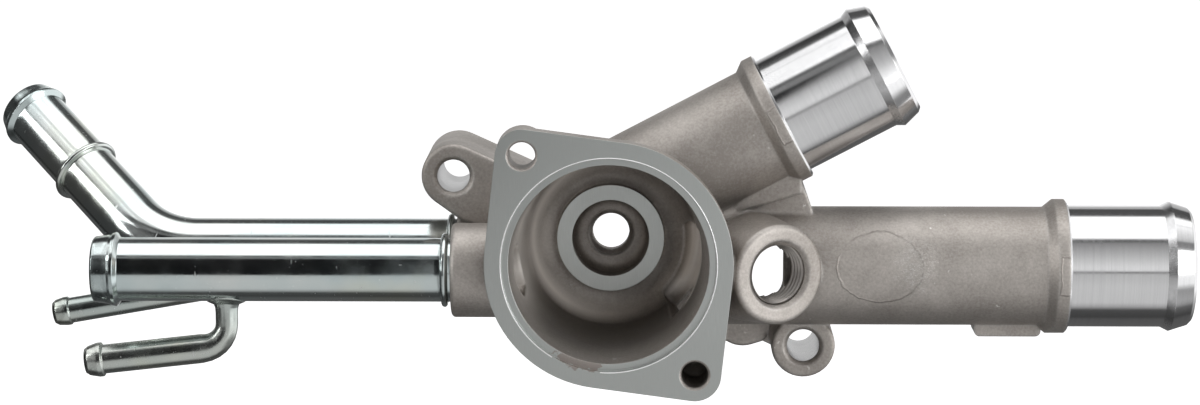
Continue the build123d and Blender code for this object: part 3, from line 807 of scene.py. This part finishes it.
heaterTube = {
    "outer": 8.45,
    "wall": 1.1,
    "bead": 9.85,
    "beadWidth": 1.7,
    "beadAt": 10.35,
    "barbLength": 6.2,
    "barbStep": 1.0,
    "tip": 8.7,
}


def hoseTubeOutline(length, beads, sizes):
    # outer side with its beads and end barb, then back along the bore
    outer, wall, crest, tip = sizes["outer"], sizes["wall"], sizes["bead"], sizes["tip"]
    inner = outer - wall
    root = length - sizes["barbLength"]
    outline = [(0, outer)]
    for at in beads:
        outline += ringBead(at, outer, crest, sizes["beadWidth"])
    outline += [(root - sizes["barbStep"], outer), (root, crest), (root + 0.9, crest - 0.15)]
    outline += [(root + 1.6, crest - 0.55), (length - 0.5, tip), (length, tip - 0.45)]
    outline += [(length - 0.1, tip - wall)]
    back = [(length - 0.1, tip - wall), (root + 0.6, crest - wall), (root - 0.6, inner), (0, inner)]
    return np.vstack([
        thinned(softened(outline, 0.08, 0.32), 0.004), thinned(softened(back, 0.2, 0.5), 0.01)[1:],
    ])


# the straight tube in front
tubeStop = 33.3
frontEnd = 137.1
frontAxis = (20.0, -4.5)
frontRoute = {
    "start": (-tubeStop, *frontAxis),
    "corner": (-100.0, *frontAxis),
    "away": (-1, 0, 0),
    "radius": 1.0,
}
frontOutline = hoseTubeOutline(frontEnd - tubeStop, [heaterTube["beadAt"]], heaterTube)
sweptTube("frontTube", frontRoute, frontOutline, 128, "front_tube", zincPlate)

# the bent tube behind it leans up and back by the same amount
rearAxis = (50.0, -3.8)
rearTurn = math.radians(50)
rearLift = math.sin(rearTurn) * math.sqrt(0.5)
rearBend = {"at": 124.7, "radius": 25.0, "beadPast": 35.0, "endPast": 64.8}
rearSizes = {**heaterTube, "barbLength": 5.1, "tip": 8.3}
rearRoute = {
    "start": (-tubeStop, *rearAxis),
    "corner": (-rearBend["at"], *rearAxis),
    "away": (-math.cos(rearTurn), rearLift, rearLift),
    "radius": rearBend["radius"],
}


def routeLength(route, reach):
    # first run plus reach past the corner, less what the arc cuts off
    first = np.array(route["corner"]) - np.array(route["start"])
    turn = math.acos(float(unitVector(first) @ unitVector(route["away"])))
    return float(np.linalg.norm(first)) + reach - route["radius"] * (2 * math.tan(turn / 2) - turn)


rearBeads = [heaterTube["beadAt"], routeLength(rearRoute, rearBend["beadPast"])]
rearOutline = hoseTubeOutline(routeLength(rearRoute, rearBend["endPast"]), rearBeads, rearSizes)
sweptTube("rearTube", rearRoute, rearOutline, 128, "rear_tube", zincPlate)

# both small tubes: wall, then reach and end of the drawn-in neck past the tube they are brazed to
smallTube = {"wall": 0.8, "neckReach": 7.5, "neckEnd": 17.0}


def smallTubeOutline(surface, length, sizes):
    # brazed root, drawn-in neck and bulb end, then back along the bore
    outer, crest = sizes["outer"], sizes["bulb"]
    inner, drawn = outer - smallTube["wall"], sizes["drawnIn"]
    root = length - sizes["bulbLength"]
    reach, plain = smallTube["neckReach"], surface + smallTube["neckEnd"]
    steps = [(-0.25, 1.5), (0.25, 1.1), (0.9, 0.42 - drawn), (1.8, 0.1 - drawn)]
    steps += [(3.0, -drawn), (reach, -drawn)]
    outline = [(surface + along, outer + rise) for along, rise in steps] + [(plain, outer)]
    outline += [(root, outer), (root + 0.45, crest), (root + 1.6, crest), (length - 0.9, outer + 0.05)]
    outline += [(length, outer - 0.6)]
    back = [(length - 0.2, inner), (root, inner), (plain, inner)]
    back += [(surface + reach, inner - drawn), (surface - 0.25, inner - drawn)]
    return np.vstack([thinned(softened(outline, 0.06, 0.3), 0.003), softened(back, 0.8, 0.0)])


# small bent tube brazed under the front tube
lowerSizes = {"outer": 3.9, "bulb": 4.6, "bulbLength": 5.0, "drawnIn": 0.9, "reach": 37.9}
lowerTurn = math.radians(6.4)
lowerRoute = {
    "start": (-101.9, *frontAxis),
    "corner": (-101.9, frontAxis[0], -25.15),
    "away": (-math.cos(lowerTurn), 0, -math.sin(lowerTurn)),
    "radius": 7.0,
}
lowerLength = routeLength(lowerRoute, lowerSizes["reach"] / math.cos(lowerTurn))
lowerSaddle = {"point": lowerRoute["start"], "axis": (1, 0, 0), "radius": heaterTube["outer"]}
lowerOutline = smallTubeOutline(heaterTube["outer"], lowerLength, lowerSizes)
sweptTube("lowerSmallTube", lowerRoute, lowerOutline, 72, "lower_small_tube", dullPlate, lowerSaddle)

# small tube brazed to the back of the bent one, down and away from the front
behindSizes = {"outer": 3.55, "bulb": 4.0, "bulbLength": 4.8, "drawnIn": 0.0, "drop": 14.25, "reach": 57.3}
behindTurn = math.radians(9.8)
behindDrop = behindSizes["drop"] * math.sqrt(0.5)
behindRoute = {
    "start": (-98.0, *rearAxis),
    "corner": (-98.0, rearAxis[0] + behindDrop, rearAxis[1] - behindDrop),
    "away": (-math.cos(behindTurn), 0, -math.sin(behindTurn)),
    "radius": 5.4,
}
behindLength = routeLength(behindRoute, behindSizes["reach"] / math.cos(behindTurn))
behindSaddle = {"point": behindRoute["start"], "axis": (1, 0, 0), "radius": heaterTube["outer"]}
behindOutline = smallTubeOutline(heaterTube["outer"], behindLength, behindSizes)
sweptTube("rearSmallTube", behindRoute, behindOutline, 72, "rear_small_tube", dullPlate, behindSaddle)
print("tubes swept")

# thread in the sensor hole
threadSizes = {"root": 8.17, "crest": 7.55, "pitch": 1.5, "start": 0.9, "end": 16.0, "armBore": 13.5}


def makeThread(sizes, places):
    # helix groove: radius is a clipped triangle wave of depth plus turn, cut off where the arm's bore opens
    turn = math.radians(places["sensorTurn"])
    outward = np.array((math.sin(turn), -math.cos(turn), 0))
    sideways = np.array((math.cos(turn), math.sin(turn), 0))
    upward = np.array((0, 0, 1.0))
    depth = np.arange(sizes["start"], sizes["end"], sizes["pitch"] / 12)
    angle = np.linspace(0, 2 * math.pi, 96, endpoint=False)
    d, a = np.meshgrid(depth, angle, indexing="ij")
    phase = (d / sizes["pitch"] + a / (2 * math.pi)) % 1.0
    wave = np.clip(1.6 * np.abs(2 * phase - 1) - 0.3, 0, 1)
    radius = sizes["crest"] + (sizes["root"] - sizes["crest"]) * wave
    verts = np.array(places["sensor"]) - d[..., None] * outward
    verts = verts + radius[..., None] * (np.cos(a)[..., None] * sideways + np.sin(a)[..., None] * upward)
    bore = np.hypot(verts[..., 1] - places["armDepth"], verts[..., 2] - places["levelArmHeight"])
    quads = gridQuads(len(depth), len(angle)).reshape(-1, 4)
    inWall = (bore > sizes["armBore"]).ravel()[quads].all(axis=1)
    piece = newPiece("sensorThread", verts.reshape(-1, 3), quads[inWall][:, ::-1], threadWall)
    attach(piece, "root")


makeThread(threadSizes, castingPlaces)
print("sensor thread cut")

# studio: pale floor, pale background, soft light
studio = {
    "floorHeight": -0.32,
    "floorHalf": 9.0,
    "floorTone": 0.9,
    "floorGlow": 0.8,
    "softboxPower": 10.0,
    "fillPower": 8.0,
    "rightPower": 5.0,
    "leftPower": 9.0,
    "roomLevel": 0.3,
    "rightLevel": 1.15,
    "leftLevel": 0.05,
    "backLevel": 1.0,
    "wallLevel": 0.25,
}


def makeFloor(values):
    half, low, tone = values["floorHalf"], values["floorHeight"], values["floorTone"]
    corners = [(-half, -half, low), (half, -half, low), (half, half, low), (-half, half, low)]
    mesh = bpy.data.meshes.new("paleFloor")
    mesh.from_pydata(corners, [], [(0, 1, 2, 3)])
    material, tree, shader = newMaterial("paleFloor")
    shader.inputs["Base Color"].default_value = (tone, tone, tone, 1)
    shader.inputs["Roughness"].default_value = 0.9
    shader.inputs["Emission Color"].default_value = (1, 1, 1, 1)
    light = addNode(tree, "ShaderNodeLightPath")
    mirror = mathNode(tree, "MAXIMUM", light.outputs["Is Glossy Ray"], light.outputs["Is Transmission Ray"])
    seen = mathNode(tree, "ADD", light.outputs["Is Camera Ray"], mirror, True)
    feed(tree, times(tree, seen, values["floorGlow"]), shader.inputs["Emission Strength"])
    mesh.materials.append(material)
    floor = bpy.data.objects.new("paleFloor", mesh)
    bpy.context.scene.collection.objects.link(floor)
    floor.visible_glossy = False


# brightness of the room in a mirror: degrees above the front, then level
roomSteps = [
    (-172, 0.12), (-112, 0.10), (-104, 0.06), (-82, 0.08), (-74, 0.42), (-64, 0.62), (-30, 0.64),
    (-5.5, 0.55), (-4, 0.2), (-1.5, 0.2), (0, 0.84), (8, 0.8), (26, 0.58), (46, 0.36), (54, 0.26),
    (56, 0.1), (61, 0.12), (64, 1.7), (97, 1.8), (98.5, 0.7), (100, 1.8), (114, 1.6), (120, 0.10),
    (145, 0.08), (150, 0.5), (172, 0.6),
]

# upright stands to the left break that light into stripes: how far the direction leans left, then level
leftStands = [
    (-0.92, 0.04), (-0.8, 0.05), (-0.74, 0.4), (-0.71, 0.9), (-0.69, 0.15), (-0.67, 0.9), (-0.6, 1.0),
    (-0.585, 0.4), (-0.57, 1.0), (-0.53, 0.36), (-0.512, 0.3), (-0.5, 1.1), (-0.485, 0.9), (-0.475, 0.5),
    (-0.442, 0.5), (-0.434, 1.0), (-0.39, 1.0), (-0.36, 0.5), (-0.27, 0.5), (-0.24, 1.0),
]


def makeRoom(values):
    world = bpy.data.worlds.new("studioRoom")
    world.use_nodes = True
    bpy.context.scene.world = world
    tree = world.node_tree
    light = addNode(tree, "ShaderNodeLightPath")
    x, y, z = splitVector(tree, addNode(tree, "ShaderNodeTexCoord").outputs["Generated"])

    def grey(name):
        return (values[name],) * 3

    lift = mathNode(tree, "ARCTAN2", z, times(tree, y, -1.0))
    steps = [((degrees + 180) / 360, level) for degrees, level in roomSteps]
    stands = [(across + 1, level) for across, level in leftStands]
    striped = addNode(tree, "ShaderNodeMix", data_type="RGBA", blend_type="MULTIPLY")
    striped.inputs[0].default_value = 1.0
    feed(tree, levelRamp(tree, rangeNode(tree, lift, -math.pi, math.pi), steps), striped.inputs[6])
    feed(tree, levelRamp(tree, rangeNode(tree, x, -1.0, 0.0), stands), striped.inputs[7])
    # a pale panel to the right with a darker wall above and below it, a dark left end, a white back
    panel = rangeNode(tree, mathNode(tree, "ABSOLUTE", z), 0.5, 0.36)
    right = mixColour(tree, panel, grey("wallLevel"), grey("rightLevel"))
    mirrored = mixColour(tree, rangeNode(tree, x, 0.5, 0.72), striped.outputs[2], right)
    mirrored = mixColour(tree, rangeNode(tree, x, -0.78, -0.86), mirrored, grey("leftLevel"))
    mirrored = mixColour(tree, rangeNode(tree, y, 0.93, 0.97), mirrored, grey("backLevel"))
    mirror = mathNode(tree, "MAXIMUM", light.outputs["Is Glossy Ray"], light.outputs["Is Transmission Ray"])
    colour = mixColour(tree, mirror, grey("roomLevel"), mirrored)
    colour = mixColour(tree, light.outputs["Is Camera Ray"], colour, (1.0, 1.0, 1.0))
    feed(tree, colour, tree.nodes["Background"].inputs[0])


blackFlag = {
    "low": -12.0,
    "high": 51.0,
    "slantTop": 4.0,
    "distance": 0.35,
    "left": -0.75,
    "right": -0.052,
    "lowRight": -0.085,
}


def makeFlag(values):
    # dark card up and in front of the tubes, seen only in their mirror: an arc of constant distance
    lift = np.radians(np.linspace(values["low"], values["high"], 13))
    slant = np.radians((values["low"], values["slantTop"]))
    right = np.interp(lift, slant, (values["lowRight"], values["right"]))
    far, up = -values["distance"] * np.cos(lift), values["distance"] * np.sin(lift)
    left = np.full(len(lift), values["left"])
    rows = np.stack([np.stack([left, far, up], axis=-1), np.stack([right, far, up], axis=-1)], axis=1)
    rows = rows.reshape(-1, 3).tolist()
    faces = [(2 * i, 2 * i + 1, 2 * i + 3, 2 * i + 2) for i in range(len(lift) - 1)]
    mesh = bpy.data.meshes.new("blackFlag")
    mesh.from_pydata(rows, [], faces)
    material, _, shader = newMaterial("blackFlag")
    shader.inputs["Base Color"].default_value = (0.012, 0.012, 0.013, 1)
    shader.inputs["Roughness"].default_value = 0.9
    shader.inputs["Specular IOR Level"].default_value = 0.0
    mesh.materials.append(material)
    flag = bpy.data.objects.new("blackFlag", mesh)
    bpy.context.scene.collection.objects.link(flag)
    for ray in ("visible_camera", "visible_diffuse", "visible_shadow", "visible_transmission"):
        setattr(flag, ray, False)


lampAim = (0, 0.02, 0)


def addLamp(name, power, size, place, mirrored=False):
    lamp = bpy.data.lights.new(name, "AREA")
    lamp.energy = power
    lamp.shape = "RECTANGLE"
    lamp.size, lamp.size_y = size
    holder = bpy.data.objects.new(name, lamp)
    holder.location = place
    holder.rotation_euler = (Vector(lampAim) - Vector(place)).to_track_quat("-Z", "Y").to_euler()
    holder.visible_glossy = mirrored
    bpy.context.scene.collection.objects.link(holder)


makeFloor(studio)
makeRoom(studio)
makeFlag(blackFlag)
addLamp("overheadSoftbox", studio["softboxPower"], (1.6, 0.9), (0, -0.1, 0.9))
addLamp("frontFill", studio["fillPower"], (1.2, 1.0), (0.9, -1.0, 0.35))
addLamp("rightPanel", studio["rightPower"], (0.8, 0.9), (1.3, -0.75, 0.3), True)
addLamp("leftPanel", studio["leftPower"], (0.8, 0.9), (-1.3, -0.75, 0.5), True)
print("studio lit")
